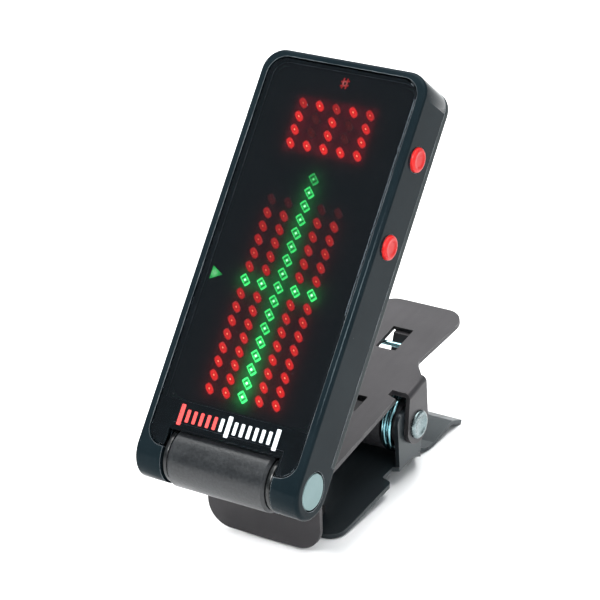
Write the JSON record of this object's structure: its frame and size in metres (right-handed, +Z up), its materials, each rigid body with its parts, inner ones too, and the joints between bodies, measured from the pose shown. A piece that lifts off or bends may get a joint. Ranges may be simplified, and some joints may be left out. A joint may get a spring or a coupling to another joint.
{
  "type": "clip on tuner",
  "caption": "Clip-on instrument tuner: a display head with a light matrix and two side buttons, hinged on a sprung sheet-metal clip with padded jaws.",
  "frame": {"origin": "centre of the footprint, on the surface that the clip's lower plate stands on", "axes": "+X to the right along the hinge barrel, +Y to the back towards the clip's handles, +Z up; the display faces -Y and leans back"},
  "size_m": [0.0245, 0.0523, 0.0574],
  "materials": {
    "head_plastic": "moulded gloss black",
    "panel": "polished dark window, light transmitting",
    "matte_black": "fine matte moulding",
    "cap_grey": "satin",
    "washer": "satin nylon",
    "clip_steel": "satin black coating on sheet steel",
    "zinc": "zinc plated",
    "steel": "plain",
    "pad_rubber": "matte rubber",
    "button_red": "semi gloss",
    "board": "solder mask green",
    "mask": "matte black film",
    "led_green": "clear lens over a green chip",
    "led_red": "clear lens over a red chip",
    "cell": "nickel plated",
    "spring_contact": "nickel plated bronze",
    "chip": "moulded epoxy",
    "piezo": "brass disc with a ceramic coating"
  },
  "bodies": {
    "clip_upper": {"upper_plate": "clip_steel", "upper_pad": "pad_rubber", "hinge_barrel": "matte_black", "foot_rivets": "zinc", "clip_pin": "zinc", "spring_spool": "matte_black", "torsion_spring": "zinc", "friction_washers": "washer"},
    "clip_lower": {"lower_plate": "clip_steel", "lower_pad": "pad_rubber"},
    "head": {"head_shell": "head_plastic", "window_panel": "panel", "back_cover": "head_plastic", "battery_door": "head_plastic", "cover_screws": "steel", "display_board": "board", "light_mask": "mask", "green_leds": "led_green", "red_leds": "led_red", "note_leds": "led_red", "pointer_led": "led_green", "sharp_led": "led_red", "switches": "chip", "coin_cell": "cell", "contact_positive": "spring_contact", "contact_negative": "spring_contact", "processor": "chip", "piezo_disc": "piezo", "hinge_pin": "steel", "hinge_cap_left": "cap_grey", "hinge_cap_right": "cap_grey"},
    "button_upper": {"button_upper": "button_red"},
    "button_lower": {"button_lower": "button_red"}
  },
  "joints": [
    {"name": "head_tilt", "type": "hinge", "parent": "clip_upper", "child": "head", "pos_m": [0, -0.0222, 0.0135], "axis": [1, 0, 0], "range_deg": [-30, 110]},
    {"name": "clip_open", "type": "hinge", "parent": "clip_upper", "child": "clip_lower", "pos_m": [0, 0.00942, 0.00753], "axis": [1, 0, 0], "range_deg": [0, 36], "stiffness_Nm_per_rad": 0.1, "springref_deg": -2.86, "deforming": ["torsion_spring"]},
    {"name": "button_upper_press", "type": "slide", "parent": "head", "child": "button_upper", "axis": [-1, 0, 0], "range_m": [0, 0.00025], "stiffness_N_per_m": 400},
    {"name": "button_lower_press", "type": "slide", "parent": "head", "child": "button_lower", "axis": [-1, 0, 0], "range_m": [0, 0.00025], "stiffness_N_per_m": 400}
  ]
}
